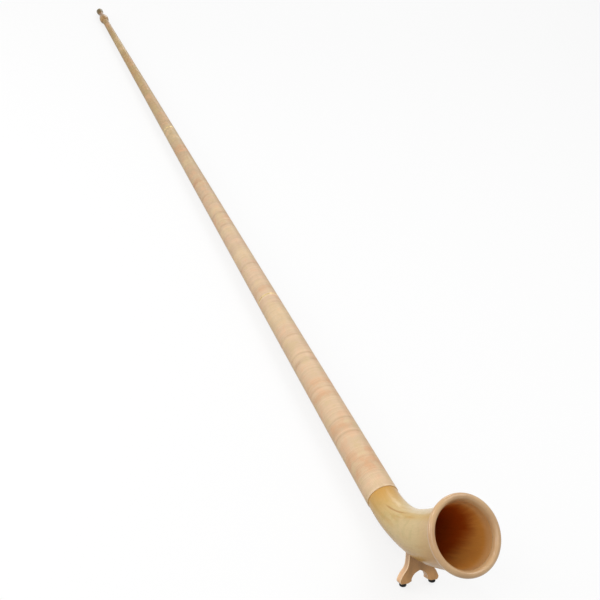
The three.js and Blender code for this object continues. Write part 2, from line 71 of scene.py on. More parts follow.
# %% Camera
CAMERA_AT = Vector((2.88039, -1.19894, 1.66822))
VIEW = Vector((-0.73651, 0.42350, -0.52751)).normalized()
VIEW_UP = Vector((-0.57724, 0.01304, 0.81640))
VIEW_RIGHT = VIEW.cross(VIEW_UP).normalized()
VIEW_UP = VIEW_RIGHT.cross(VIEW).normalized()
FOCAL_PIXELS, PICTURE_PIXELS, SENSOR_WIDTH = 1016.06, 600, 36
turn = Matrix((VIEW_RIGHT, VIEW_UP, -VIEW)).transposed()
bpy.ops.object.camera_add(location=CAMERA_AT, rotation=turn.to_euler())
camera = bpy.context.object
camera.name = "camera"
camera.data.sensor_width = SENSOR_WIDTH
camera.data.lens = FOCAL_PIXELS / PICTURE_PIXELS * SENSOR_WIDTH
bpy.context.scene.camera = camera
print("lens", round(camera.data.lens, 2), "mm, turned by",
      [round(math.degrees(a), 2) for a in camera.rotation_euler])

# %% [markdown]
# ## How the horn grows
# The tube is a long cone. Past the bend the bell flares in a soft S. A few rows of shares give that
# growth, and a smooth curve is led through them, so the outline can be drawn as finely as it is needed.
# At the very end the lip of the rim rolls into the bore as a quarter of an ellipse.

# %% Radii of the wood and of the binding
WRAP_T = 1.8 * MM
WRAP_R_MOUTH, WRAP_R_BEND = 12.8 * MM, 40.2 * MM
BORE_R_MOUTH, BEND_WALL = 6.5 * MM, 7.4 * MM
BELL_END_R = 80 * MM
FLARE_SHARES = [(0, 0), (0.15, 0.05), (0.3, 0.137), (0.43, 0.28), (0.55, 0.44), (0.75, 0.663),
                (0.9, 0.83), (1, 1)]


def lerp(a, b, t):
    return a + (b - a) * t


def through(table, t):
    """Height of the smooth curve through the table's rows at t."""
    last = len(table) - 2
    i = 0
    while i < last and t > table[i + 1][0]:
        i += 1
    slope = lambda a, b: (table[b][1] - table[a][1]) / (table[b][0] - table[a][0])
    width = table[i + 1][0] - table[i][0]
    m0 = slope(i - 1, i + 1) if i > 0 else slope(i, i + 1)
    m1 = slope(i, i + 2) if i < last else slope(i, i + 1)
    x = (t - table[i][0]) / width
    return (lerp(table[i][1], table[i + 1][1], x * x * (3 - 2 * x))
            + width * x * (1 - x) * (m0 * (1 - x) - m1 * x))


def bend_point(t):
    """Point of the bore path through the bend and the bell."""
    end = Vector((BEND_CORNER + BELL_RUN * math.cos(BEND_ANGLE), 0, BELL_RUN * math.sin(BEND_ANGLE)))
    a, b, c, d = Vector((0, 0, 0)), Vector((BEND_LEAD, 0, 0)), Vector((BEND_CORNER, 0, 0)), end
    return a * (1 - t) ** 3 + 3 * b * t * (1 - t) ** 2 + 3 * c * t * t * (1 - t) + d * t ** 3


PATH_STEPS = 2000
steps = [bend_point(i / PATH_STEPS) for i in range(PATH_STEPS + 1)]
BELL = sum((q - p).length for p, q in zip(steps, steps[1:]))


def wrap_radius(s):
    return lerp(WRAP_R_MOUTH, WRAP_R_BEND, 1 + s / TUBE)


def wood_radius(s):
    if s <= 0:
        return wrap_radius(s) - WRAP_T
    return lerp(WRAP_R_BEND - WRAP_T, BELL_END_R, through(FLARE_SHARES, min(s / BELL, 1)))


def bore_radius(s):
    if s <= 0:
        return lerp(BORE_R_MOUTH, WRAP_R_BEND - WRAP_T - BEND_WALL, 1 + s / TUBE)
    return wood_radius(s) - BEND_WALL


RIM_BEAD_R, RIM_MID_R, LIP_DEPTH = 8.4 * MM, 79.8 * MM, 14 * MM


def lip_radius(s):
    """Radius of the inside, with the lip that rolls from the crown of the rim into the bore."""
    if s <= BELL - LIP_DEPTH:
        return bore_radius(s)
    share = (s - BELL + LIP_DEPTH) / (LIP_DEPTH + RIM_BEAD_R)
    return RIM_MID_R - (RIM_MID_R - bore_radius(BELL - LIP_DEPTH)) * math.sqrt(1 - share * share)


print("bend and bell along the bore:", round(BELL * 1000, 2), "mm")

# %% [markdown]
# ## Turning
# Nearly everything on a horn is round, and was turned or bored. In Blender that is an outline, one half
# of the section, spun round an axis. The outline is drawn by extruding a single vertex from point to
# point, as with E and a typed length. The spin meets itself, so its doubles are merged, and the faces are
# made to point outwards.

# %% Draw an outline and spin it
MERGE_WITHIN = 0.000001


def only(obj):
    """Selects one object and nothing else."""
    if bpy.context.mode != "OBJECT":
        bpy.ops.object.mode_set(mode="OBJECT")
    bpy.ops.object.select_all(action="DESELECT")
    obj.select_set(True)
    bpy.context.view_layer.objects.active = obj
    return obj


def draw(name, points):
    """Leaves edit mode on, with the outline drawn."""
    bpy.ops.object.select_all(action="DESELECT")
    bpy.ops.mesh.primitive_plane_add(size=1, location=(0, 0, 0))
    obj = bpy.context.object
    obj.name = obj.data.name = name
    bpy.ops.object.mode_set(mode="EDIT")
    bpy.ops.mesh.select_mode(type="VERT")
    bpy.ops.mesh.select_all(action="SELECT")
    bpy.ops.mesh.merge(type="CENTER")
    points = [Vector(p) for p in points]
    bpy.ops.transform.translate(value=points[0])
    for here, there in zip(points, points[1:]):
        bpy.ops.mesh.extrude_region_move(TRANSFORM_OT_translate={"value": there - here})
    return obj


def turned(name, outline, around=96, sharp=32):
    """Spins a half section of (x, radius) points round the X axis."""
    obj = draw(name, [(x, 0, r) for x, r in outline])
    bpy.ops.mesh.select_all(action="SELECT")
    bpy.ops.mesh.spin(steps=around, angle=2 * math.pi, center=(0, 0, 0), axis=(1, 0, 0))
    bpy.ops.mesh.select_all(action="SELECT")
    bpy.ops.mesh.remove_doubles(threshold=MERGE_WITHIN)
    bpy.ops.mesh.normals_make_consistent(inside=False)
    bpy.ops.object.mode_set(mode="OBJECT")
    only(obj)
    bpy.ops.object.shade_smooth_by_angle(angle=math.radians(sharp))
    return obj


def place(obj, matrix):
    """Moves a drawn piece to its place and keeps that place in its mesh."""
    only(obj)
    obj.matrix_world = matrix
    bpy.ops.object.transform_apply(location=True, rotation=True, scale=True)
    return obj


def apply_all(obj):
    only(obj)
    for modifier in list(obj.modifiers):
        bpy.ops.object.modifier_apply(modifier=modifier.name)
    return obj


def report(obj):
    lo = [min(v.co[i] for v in obj.data.vertices) for i in range(3)]
    hi = [max(v.co[i] for v in obj.data.vertices) for i in range(3)]
    obj.data.calc_loop_triangles()
    print(obj.name, len(obj.data.loop_triangles), "triangles,", "low", [round(c * 1000, 1) for c in lo],
          "high", [round(c * 1000, 1) for c in hi])


# %% [markdown]
# ## The trunk of the bell
# The real trunk is sawn from a spruce that grew bent on a slope, halved, hollowed and glued again. Its
# outside and its bore are one closed half section here: along the skin to the rim, and back along the
# bore. A Curve modifier bends the spun cone along the same path as the solid model. Before it is bent,
# each point's straight place is kept as an attribute, so the grain can follow the bend later.

# %% Half section of the trunk
JOINT_GAP, FLANGE_T, FIT = 0.3 * MM, 1.5 * MM, 0.3 * MM
TENON_T, TENON_OUT, TENON_IN = 1.6 * MM, 50 * MM, 42 * MM
SOCKET_T, SLIP = 1 * MM, 0.4 * MM
RIM_SEAT = 5 * MM
rim_seat = BELL - RIM_SEAT


def tenon_radius(joint):
    return bore_radius(joint) + TENON_T


def socket_radius(joint):
    return tenon_radius(joint) + SLIP


STATIONS, STRAIGHT_RINGS = 96, 8
skin = [(rim_seat * i / STATIONS, wood_radius(rim_seat * i / STATIONS)) for i in range(STATIONS + 1)]
bore = [(s, lip_radius(s)) for s, _ in reversed(skin)]
trunk_start = BELL_JOINT + FLANGE_T + FIT
socket_floor = BELL_JOINT + TENON_OUT + 2 * FIT
seat_r = socket_radius(BELL_JOINT) + SOCKET_T + FIT
along_tube = [trunk_start * (1 - i / STRAIGHT_RINGS) for i in range(STRAIGHT_RINGS)]
back = [socket_floor * i / STRAIGHT_RINGS for i in range(1, STRAIGHT_RINGS + 1)]
half_section = ([(s, wood_radius(s)) for s in along_tube] + skin + bore
                + [(s, bore_radius(s)) for s in back] + [(socket_floor, seat_r), (trunk_start, seat_r)])
half_section.append(half_section[0])
trunk = turned("bell_trunk", half_section, around=96)
report(trunk)

# %% [markdown]
# The bore gets its own material later, so its faces are picked by their distance from the axis while
# the trunk is still straight. The flat seat of the rim ring, whose faces look along the axis, stays with
# the skin. This is also the moment to store the straight place of every point.

# %% Mark the bore and keep the straight places


def keep_straight(obj):
    """Stores every point's place before the bend as the attribute that the grain reads."""
    field = obj.data.attributes.new("straight", "FLOAT_VECTOR", "POINT")
    for i, v in enumerate(obj.data.vertices):
        field.data[i].vector = v.co


keep_straight(trunk)
SEAT_NORMAL = 0.999
inside_faces = []
for face in trunk.data.polygons:
    s = face.center.x
    r = math.hypot(face.center.y, face.center.z)
    if face.normal.x < SEAT_NORMAL and r < (wood_radius(s) + bore_radius(s)) / 2:
        inside_faces.append(face.index)
print("faces of the bore:", len(inside_faces), "of", len(trunk.data.polygons))

# %% [markdown]
# The path is a Bezier curve with three knots. The first two hold the straight tube, and the last two the
# bend. The Curve modifier lays the trunk's X axis along it.

# %% Bend the trunk


def bore_path(name, start):
    bpy.ops.object.select_all(action="DESELECT")
    bpy.ops.curve.primitive_bezier_curve_add(location=(0, 0, 0))
    path = bpy.context.object
    path.name = name
    spline = path.data.splines[0]
    spline.bezier_points.add(1)
    end = bend_point(1)
    knots = [(Vector((start, 0, 0)), None, Vector((start * 2 / 3, 0, 0))),
             (Vector((0, 0, 0)), Vector((start / 3, 0, 0)), Vector((BEND_LEAD, 0, 0))),
             (end, Vector((BEND_CORNER, 0, 0)), None)]
    for knot, (at, left, right) in zip(spline.bezier_points, knots):
        knot.handle_left_type = knot.handle_right_type = "FREE"
        knot.co = at
        knot.handle_left = left if left is not None else at - (right - at)
        knot.handle_right = right if right is not None else at + (at - left)
    path.data.resolution_u = 200
    path.data.use_deform_bounds = False
    path.data.use_radius = False
    path.data.use_stretch = False
    return path


def bend(obj, start):
    """Carries a straight piece round the bend, from a path that begins at x = start."""
    place(obj, Matrix.Translation((-start, 0, 0)))
    path = bore_path("bore_path", start)
    modifier = obj.modifiers.new("bend", "CURVE")
    modifier.object = path
    modifier.deform_axis = "POS_X"
    apply_all(obj)
    bpy.data.objects.remove(path, do_unlink=True)
    return obj


bend(trunk, BELL_JOINT)
report(trunk)
print("end of the path:", [round(c * 1000, 2) for c in bend_point(1)])

# %% [markdown]
# ## Rim ring
# The bell ends in a half-round moulding, glued on its end grain. Its outline is an arc from the back of
# the moulding over its crown. From there it rolls as a quarter of an ellipse into the bore, and the
# flat seat closes it. It is drawn at the origin, like everything that is turned, and one matrix then
# sets it square on the end of the path.

# %% Rim ring
AT_RIM = Matrix.Translation(bend_point(1)) @ Matrix.Rotation(-BEND_ANGLE, 4, "Y")

ARC_STEPS, ROLL_STEPS, ROLL_FROM = 20, 16, 0.995
ring_back = -RIM_SEAT + FIT
crown_from = math.acos(ring_back / RIM_BEAD_R)
arc = [lerp(crown_from, 0, i / ARC_STEPS) for i in range(ARC_STEPS + 1)]
outline = [(RIM_BEAD_R * math.cos(a), RIM_MID_R + RIM_BEAD_R * math.sin(a)) for a in arc]
inwards = [lerp(ROLL_FROM * RIM_BEAD_R, ring_back, 1 - (1 - i / ROLL_STEPS) ** 0.5)
           for i in range(ROLL_STEPS + 1)]
outline += [(x, lip_radius(BELL + x)) for x in inwards]
outline.append(outline[0])
rim = turned("rim_moulding", outline, around=144, sharp=50)
place(rim, ON_GROUND @ AT_RIM)
place(trunk, ON_GROUND)
report(rim)

# %% [markdown]
# ## Rattan binding
# The tube is bound from end to end with one split cane, laid side by side in some 850 turns. A real
# winding shows in the outline and in every highlight, so it is modelled: the crowned section of one cane
# is carried round by a Screw modifier, tapered with the tube by Simple Deform, and sawn off square at
# both ends with a bisect.

# %% One section's binding
PITCH, CANE = 3.7 * MM, 3.62 * MM
CROWN_PROUD, SHOULDER_SHARE, SLOPE_SHARE, SLOPE_AT = 1.0006, 0.62, 0.94, 0.55


def cut_square(x, outwards):
    """Saws the piece in edit mode at x and keeps the other side."""
    bpy.ops.mesh.select_all(action="SELECT")
    bpy.ops.mesh.bisect(plane_co=(x, 0, 0), plane_no=(outwards, 0, 0), use_fill=True,
                        clear_outer=True, clear_inner=False)


def binding(name, start, end, around):
    """Winds cane on the tube between two distances along it."""
    turns = math.ceil((end - start) / PITCH) + 2
    length = turns * PITCH
    first = end + PITCH - length
    narrowing = (WRAP_R_BEND - WRAP_R_MOUTH) / TUBE / WRAP_R_BEND
    half, crown = CANE / 2, WRAP_R_BEND * CROWN_PROUD
    base = WRAP_R_BEND - WRAP_T
    shoulder, slope = lerp(base, crown, SHOULDER_SHARE), lerp(base, crown, SLOPE_SHARE)
    section = [(-half, base), (half, base), (half, shoulder), (half * SLOPE_AT, slope), (0, crown),
               (-half * SLOPE_AT, slope), (-half, shoulder), (-half, base)]
    obj = draw(name, [(first + x, 0, r) for x, r in section])
    bpy.ops.mesh.select_all(action="SELECT")
    bpy.ops.mesh.remove_doubles(threshold=MERGE_WITHIN)
    bpy.ops.object.mode_set(mode="OBJECT")
    winding = obj.modifiers.new("wind", "SCREW")
    winding.axis = "X"
    winding.angle = 2 * math.pi
    winding.screw_offset = PITCH
    winding.iterations = turns
    winding.steps = winding.render_steps = around
    winding.use_smooth_shade = True
    winding.use_merge_vertices = False
    apply_all(obj)
    xs = [v.co.x for v in obj.data.vertices]
    taper = obj.modifiers.new("taper", "SIMPLE_DEFORM")
    taper.deform_method = "TAPER"
    taper.deform_axis = "X"
    taper.factor = narrowing * (max(xs) - min(xs))
    apply_all(obj)
    bpy.ops.object.mode_set(mode="EDIT")
    cut_square(start, -1)
    cut_square(end, 1)
    bpy.ops.mesh.select_all(action="SELECT")
    bpy.ops.mesh.normals_make_consistent(inside=False)
    bpy.ops.object.mode_set(mode="OBJECT")
    only(obj)
    bpy.ops.object.shade_smooth_by_angle(angle=math.radians(50))
    for side, at in (("first", start), ("last", end)):
        near = [math.hypot(v.co.y, v.co.z) for v in obj.data.vertices if abs(v.co.x - at) < 2 * MM]
        print(name, side, "end: radius", round(max(near) * 1000, 2),
              "mm, tube", round(wrap_radius(at) * 1000, 2))
    return obj


bell_binding = binding("bell_binding", trunk_start, 0, around=40)
middle_binding = binding("middle_binding", HAND_JOINT + FLANGE_T + FIT,
                         BELL_JOINT - JOINT_GAP - FLANGE_T - FIT, around=32)
hand_binding = binding("hand_binding", -TUBE + FIT, HAND_JOINT - JOINT_GAP - FLANGE_T - FIT, around=26)
for piece in (bell_binding, middle_binding, hand_binding):
    place(piece, ON_GROUND)
    report(piece)

# %% [markdown]
# ## Pull-apart joints
# The horn travels in three sections. A brass tenon on the upper one slides into a brass socket in the
# lower one, and two rubber rings in its grooves hold it. All of these are turned from closed outlines.
# The rings are round in section, so their outline is a small circle.

# %% Tenons, sockets and seal rings
GROOVE_DEPTH, GROOVE_W = 0.8 * MM, 1.6 * MM
SEAL_FIRST, SEAL_SPACING, SEAL_D = 12 * MM, 24 * MM, 0.9 * MM
SEAL_LIFT, SEAL_SIDES, EDGE = 0.1 * MM, 10, 0.25 * MM


def closed(points):
    return points + [points[0]]


def tenon(name, joint):
    """A sleeve with a flange and two grooves, on the section above the joint."""
    inner, outer, flange = bore_radius(joint), tenon_radius(joint), wrap_radius(joint)
    at = joint - JOINT_GAP
    points = [(at - TENON_IN, inner), (at - TENON_IN, outer), (at - FLANGE_T, outer),
              (at - FLANGE_T, flange - EDGE), (at - FLANGE_T + EDGE, flange), (at - EDGE, flange),
              (at, flange - EDGE), (at, outer)]
    for i in range(2):
        groove = joint + SEAL_FIRST + i * SEAL_SPACING
        points += [(groove, outer), (groove, outer - GROOVE_DEPTH),
                   (groove + GROOVE_W, outer - GROOVE_DEPTH), (groove + GROOVE_W, outer)]
    tip = joint + TENON_OUT
    points += [(tip - 2 * EDGE, outer), (tip, outer - 2 * EDGE), (tip, inner)]
    return turned(name, closed(points))


def socket(name, joint):
    """The sleeve that takes the tenon, on the section below the joint."""
    hole, outer, flange = socket_radius(joint), socket_radius(joint) + SOCKET_T, wrap_radius(joint)
    end = joint + TENON_OUT + FIT
    return turned(name, closed([
        (joint, hole + EDGE), (joint, flange - EDGE), (joint + EDGE, flange),
        (joint + FLANGE_T - EDGE, flange), (joint + FLANGE_T, flange - EDGE), (joint + FLANGE_T, outer),
        (end, outer), (end, hole), (joint + EDGE, hole)]))


def seal(name, joint, i):
    """A rubber ring in one of the tenon's grooves."""
    r = SEAL_D / 2
    x = joint + SEAL_FIRST + i * SEAL_SPACING + GROOVE_W / 2
    middle = tenon_radius(joint) - GROOVE_DEPTH + SEAL_LIFT + r
    circle = [(x + r * math.cos(a), middle + r * math.sin(a))
              for a in [math.tau * k / SEAL_SIDES for k in range(SEAL_SIDES)]]
    return turned(name, closed(circle), sharp=80)


middle_tenon = tenon("middle_joint_tenon", BELL_JOINT)
hand_tenon = tenon("hand_joint_tenon", HAND_JOINT)
bell_socket = socket("bell_joint_socket", BELL_JOINT)
middle_socket = socket("middle_joint_socket", HAND_JOINT)
middle_seals = [seal(f"middle_seal_ring_{n}", BELL_JOINT, i) for i, n in enumerate(("upper", "lower"))]
hand_seals = [seal(f"hand_seal_ring_{n}", HAND_JOINT, i) for i, n in enumerate(("upper", "lower"))]
for piece in [middle_tenon, hand_tenon, bell_socket, middle_socket, *middle_seals, *hand_seals]:
    place(piece, ON_GROUND)
    report(piece)

# %% [markdown]
# ## Mouth collar and receiver
# At the mouth end a turned collar hides the end of the binding and holds the thin tube together. It
# swells just below its top and falls away to the tube, as a row of shares says. The brass receiver
# inside it takes the shank of the mouthpiece.

# %% Collar and receiver
COLLAR_LENGTH, COLLAR_OVER_TUBE = 40 * MM, 20 * MM
COLLAR_END_R, COLLAR_SWELL = WRAP_R_MOUTH + 0.8 * MM, 6.2 * MM
COLLAR_SHARES = [(0, 0.72), (0.06, 0.88), (0.16, 0.97), (0.3, 1), (0.5, 0.94), (0.7, 0.72), (0.86, 0.38),
                 (0.95, 0.12), (1, 0)]
RECEIVER_OUT, RECEIVER_IN = 6.7 * MM, 6.1 * MM
BUSH_R, BUSH_FLANGE_R, BUSH_FLANGE_T, BUSH_LENGTH = 8.2 * MM, 11 * MM, 1.2 * MM, 38 * MM
COLLAR_STEPS, COLLAR_EDGE, BUSH_EDGE = 32, 0.6 * MM, 0.3 * MM
collar_top = -TUBE - COLLAR_LENGTH
bush_end = collar_top + BUSH_LENGTH
wood_at_top = wood_radius(-TUBE) + FIT

tube_stop = -TUBE - COLLAR_OVER_TUBE - FIT
bead = [(collar_top + COLLAR_LENGTH * i / COLLAR_STEPS,
         COLLAR_END_R + COLLAR_SWELL * through(COLLAR_SHARES, i / COLLAR_STEPS))
        for i in range(COLLAR_STEPS + 1)]
collar = turned("turned_collar", closed(bead + [
    (-TUBE, COLLAR_END_R - COLLAR_EDGE), (-TUBE, wood_at_top), (tube_stop, wood_at_top),
    (tube_stop, BUSH_R + FIT), (collar_top, BUSH_R + FIT)]), around=72, sharp=45)
seat_back = collar_top - FIT
seat_top = seat_back - BUSH_FLANGE_T
bush = turned("receiver_seat", closed([
    (seat_top, RECEIVER_OUT), (seat_top, BUSH_FLANGE_R - BUSH_EDGE), (seat_top + BUSH_EDGE, BUSH_FLANGE_R),
    (seat_back, BUSH_FLANGE_R), (seat_back, BUSH_R), (bush_end, BUSH_R), (bush_end, RECEIVER_IN)]),
    around=72)
for piece in (collar, bush):
    place(piece, ON_GROUND)
    report(piece)

# %% [markdown]
# ## Mouthpiece
# It is one turned piece: a cup with a rounded lip, a short neck that widens to a skirt over the
# receiver, and a tapered shank that is drilled through. Its outline goes down the outside and comes back
# through the bore and the bowl.

# %% Mouthpiece
CUP_MOUTH_R, CUP_WALL, CUP_LENGTH, CUP_DEPTH = 9.2 * MM, 5.6 * MM, 40 * MM, 24 * MM
CUP_SHARES = [(0.08, 1), (0.2, 0.97), (0.4, 0.86), (0.6, 0.66), (0.8, 0.3), (0.92, 0.08), (1, 0)]
BOWL_SHARES = [(0.03, 1), (0.15, 0.97), (0.4, 0.86), (0.65, 0.62), (0.85, 0.3), (1, 0)]
RIM_ROUND, THROAT_R, SHANK_BORE_R = 2.4 * MM, 2.6 * MM, 4.1 * MM
NECK_R, SKIRT_R = 9 * MM, 17.6 * MM
SKIRT_SHARES = [(0, 0), (0.2, 0.06), (0.42, 0.3), (0.65, 0.64), (0.85, 0.9), (1, 1)]
MOUTHPIECE_OUT, SHANK_IN, NECK_LENGTH = 88 * MM, 34 * MM, 4 * MM
LIP_STRETCH, LIP_FLAT, LIP_INNER_X, LIP_INNER_R = 1.3, 1.4 * MM, 0.25 * MM, 0.5 * MM
SKIRT_EDGE, SHANK_EDGE = 0.8 * MM, 0.4 * MM
lip = seat_top - MOUTHPIECE_OUT
cup_end = lip + CUP_LENGTH
cup_r = CUP_MOUTH_R + CUP_WALL
shank_end = seat_top + SHANK_IN


def shank_r(s):
    return lerp(RECEIVER_OUT, RECEIVER_IN, (s - seat_top) / (bush_end - seat_top)) - FIT


lip_arc = [(lip + RIM_ROUND * (1 - math.sin(a)) * LIP_STRETCH,
            cup_r - RIM_ROUND + RIM_ROUND * math.cos(a))
           for a in [math.radians(90 - 15 * i) for i in range(7)]]
outside = [(lip + CUP_LENGTH * t, lerp(NECK_R, cup_r, through(CUP_SHARES, t)))
           for t in [0.1 + 0.9 * i / 26 for i in range(1, 27)]]
skirt_from, skirt_to = cup_end + NECK_LENGTH, seat_top - FIT - SKIRT_EDGE
skirt = [(lerp(skirt_from, skirt_to, t), lerp(NECK_R, SKIRT_R, through(SKIRT_SHARES, t)))
         for t in [i / 24 for i in range(25)]]
shank = [(seat_top - FIT, SKIRT_R - SKIRT_EDGE), (seat_top - FIT, shank_r(seat_top)),
         (shank_end - SHANK_EDGE, shank_r(shank_end)), (shank_end, shank_r(shank_end) - SHANK_EDGE),
         (shank_end, SHANK_BORE_R)]
bowl = [(lip + CUP_DEPTH * t, lerp(THROAT_R, CUP_MOUTH_R, through(BOWL_SHARES, t)))
        for t in [1 - 0.97 * i / 22 for i in range(23)]]
mouthpiece = turned("turned_mouthpiece", closed(
    [(lip, CUP_MOUTH_R + LIP_FLAT)] + lip_arc + outside + skirt + shank + bowl
    + [(lip + LIP_INNER_X, CUP_MOUTH_R + LIP_INNER_R)]), around=72, sharp=40)
place(mouthpiece, ON_GROUND)
report(mouthpiece)

# %% [markdown]
# ## Foot
# The foot is sawn from one board: two cabriole legs with flared hooves, an arch between them and a
# neck that is carved to the underside of the bell. Half of its outline is worked out and mirrored, the
# face is filled and extruded to the board's thickness.

# %% Foot outline
FOOT_RAKE = math.radians(28)
FOOT_H, FOOT_OVER, FOOT_T, FOOT_EDGE = 61.7 * MM, 22.3 * MM, 18 * MM, 1.6 * MM
FOOT_WAIST, FOOT_ARCH_H, PAD_Y, PAD_R, PAD_H = 30 * MM, 32 * MM, 38 * MM, 8.3 * MM, 8 * MM
HOOF_OUT, HOOF_IN = PAD_Y + PAD_R + 3.7 * MM, PAD_Y - PAD_R - 9.2 * MM
HOOF_H = PAD_H / 2 + FIT + 4.2 * MM
LEG_SHARES = [(1, 0.06), (0.64, 0.24), (0.17, 0.41), (0, 0.62), (0, 1)]
ARCH_SHARES = [(0, 1), (0.5, 0.8), (0.82, 0.55), (1, 0.25)]


def smooth_through(points, count):
    """Points on a smooth curve that passes through the given ones."""
    points = [Vector(p) for p in points]
    out = []
    for n in range(count + 1):
        f = (len(points) - 1) * n / count
        i = min(int(f), len(points) - 2)
        t = f - i
        p1, p2 = points[i], points[i + 1]
        p0, p3 = points[max(i - 1, 0)], points[min(i + 2, len(points) - 1)]
        v0, v1 = (p2 - p0) / 2, (p3 - p1) / 2
        cubic, square = 2 * p1 - 2 * p2 + v0 + v1, -3 * p1 + 3 * p2 - 2 * v0 - v1
        out.append(cubic * t ** 3 + square * t * t + v0 * t + p1)
    return out


arch_side = smooth_through([(HOOF_IN * a, lerp(HOOF_H, FOOT_ARCH_H, u)) for a, u in ARCH_SHARES], 18)
leg_side = smooth_through([(lerp(FOOT_WAIST, HOOF_OUT, a), lerp(HOOF_H, FOOT_H + FOOT_OVER, u))
                           for a, u in LEG_SHARES], 24)
sole = PAD_H / 2 + FIT
hoof = [(HOOF_IN, HOOF_H), (PAD_Y - PAD_R - FIT, sole), (PAD_Y + PAD_R + FIT, sole), (HOOF_OUT, HOOF_H)]
right = arch_side + [Vector(p) for p in hoof] + leg_side
left = [Vector((-p.x, p.y)) for p in reversed(right[1:])]
foot = draw("carved_foot", closed([(p.x, p.y, -FOOT_T / 2) for p in right + left]))
bpy.ops.mesh.select_all(action="SELECT")
bpy.ops.mesh.remove_doubles(threshold=MERGE_WITHIN)
bpy.ops.mesh.select_all(action="SELECT")
bpy.ops.mesh.edge_face_add()
bpy.ops.mesh.extrude_region_move(TRANSFORM_OT_translate={"value": (0, 0, FOOT_T)})
bpy.ops.mesh.select_all(action="SELECT")
bpy.ops.mesh.normals_make_consistent(inside=False)
bpy.ops.object.mode_set(mode="OBJECT")
report(foot)

# %% [markdown]
# The maker breaks the long edges with a file. An edge that lies in the front or the back of the board
# is picked by the place of its two ends, and all of them are bevelled.

# %% Round the foot's long edges
ON_FACE, BEVEL_STEPS, BEVEL_SHAPE = 0.01 * MM, 3, 0.6


def select_edges(obj, rule):
    """Selects the edges whose two ends pass the rule, and enters edit mode."""
    only(obj)
    bpy.ops.object.mode_set(mode="EDIT")
    bpy.ops.mesh.select_mode(type="EDGE")
    bpy.ops.mesh.select_all(action="DESELECT")
    bpy.ops.object.mode_set(mode="OBJECT")
    count = 0
    for edge in obj.data.edges:
        edge.select = all(rule(obj.data.vertices[i].co) for i in edge.vertices)
        count += edge.select
    bpy.ops.object.mode_set(mode="EDIT")
    return count


count = 0
for side in (-1, 1):
    count += select_edges(foot, lambda co: abs(co.z - side * FOOT_T / 2) < ON_FACE)
    bpy.ops.mesh.bevel(offset=FOOT_EDGE, segments=BEVEL_STEPS, profile=BEVEL_SHAPE, affect="EDGES",
                       clamp_overlap=True)
    bpy.ops.object.mode_set(mode="OBJECT")
print("rounded edges:", count)

# %% [markdown]
# The neck of the foot is hollowed to the belly of the bell. The bell's skin is spun once more, as a
# closed solid, and bent like the trunk, and a Boolean takes it out of the board.

# %% Fit the foot to the bell
FOOT_FROM_RIM, FOOT_SHARP = 185.4 * MM, math.radians(28)
skin_solid = turned("bell_skin", [(0, 0)] + skin + [(rim_seat, 0)], around=96)
place(skin_solid, Matrix.Identity(4))
bend(skin_solid, BELL_JOINT)

foot_up = Vector((-math.sin(FOOT_RAKE), 0, math.cos(FOOT_RAKE)))
foot_back = Vector((-math.cos(FOOT_RAKE), 0, -math.sin(FOOT_RAKE)))


def path_at(s):
    """Centre and upward normal of the bore path at s."""
    run = 0
    for p, q in zip(steps, steps[1:]):
        if run + (q - p).length >= s:
            along = (q - p).normalized()
            return p + along * (s - run), Vector((-along.z, 0, along.x))
        run += (q - p).length


foot_station = BELL - FOOT_FROM_RIM
centre, up = path_at(foot_station)
foot_origin = centre - up * wood_radius(foot_station) - foot_up * FOOT_H
foot_axes = Matrix((Vector((0, -1, 0)), foot_up, foot_back)).transposed()
AT_FOOT = Matrix.Translation(foot_origin) @ foot_axes.to_4x4()
place(foot, AT_FOOT)
fit = foot.modifiers.new("fit", "BOOLEAN")
fit.operation = "DIFFERENCE"
fit.solver = "EXACT"
fit.object = skin_solid
apply_all(foot)
bpy.data.objects.remove(skin_solid, do_unlink=True)
bpy.ops.object.shade_smooth_by_angle(angle=FOOT_SHARP)
place(foot, ON_GROUND)
report(foot)

# %% [markdown]
# The board's front and back show long grain, and its sawn edges are paler, partly as painted light on
# them and painted shade on the faces. An attribute on the faces keeps which is which for the finish: 1
# on the front and the back, 0 on the edges.

# %% Mark the front and the back
FLAT = 0.99
board = ON_GROUND.to_3x3() @ foot_back
facing = foot.data.attributes.new("facing", "FLOAT", "FACE")
for i, face in enumerate(foot.data.polygons):
    facing.data[i].value = abs(face.normal.dot(board))
print("faces that lie in the board's plane:", sum(item.value > FLAT for item in facing.data))

# %% [markdown]
# ## Pads
# Each leg stands on a black rubber pad: a dome with a small flat, and a stem that is pushed into the
# hoof. It is turned like the rest, then set under the hoof.

# %% Pads
PAD_FLAT_R, PAD_STEM_R, PAD_STEM_H, PAD_EDGE = 4.8 * MM, 3 * MM, 7 * MM, 0.6 * MM
PAD_SHARES = [(0, -0.5), (0.6, -0.34), (0.92, -0.12), (1, 0.14)]
dome = smooth_through([(PAD_H * u, lerp(PAD_FLAT_R, PAD_R, o)) for o, u in PAD_SHARES], 12)
pad_top, stem_top = PAD_H / 2, PAD_H / 2 + PAD_STEM_H
pads = []
for name, side in (("left", -1), ("right", 1)):
    pad = turned(f"rubber_pad_{name}", [(-PAD_H / 2, 0)] + [tuple(p) for p in dome] + [
        (pad_top - PAD_EDGE, PAD_R), (pad_top, PAD_R - PAD_EDGE), (pad_top, PAD_STEM_R),
        (stem_top, PAD_STEM_R), (stem_top, 0)], around=48, sharp=35)
    upright = Matrix.Translation((side * PAD_Y, 0, 0)) @ Matrix.Rotation(math.pi / 2, 4, "Z")
    place(pad, ON_GROUND @ AT_FOOT @ upright)
    report(pad)
    pads.append(pad)

# %% [markdown]
# ## Which section carries what
# Each piece rides on one of the four bodies of the frame, so the sections still pull apart, and it
# replaces the plainer solid that it was modelled over.

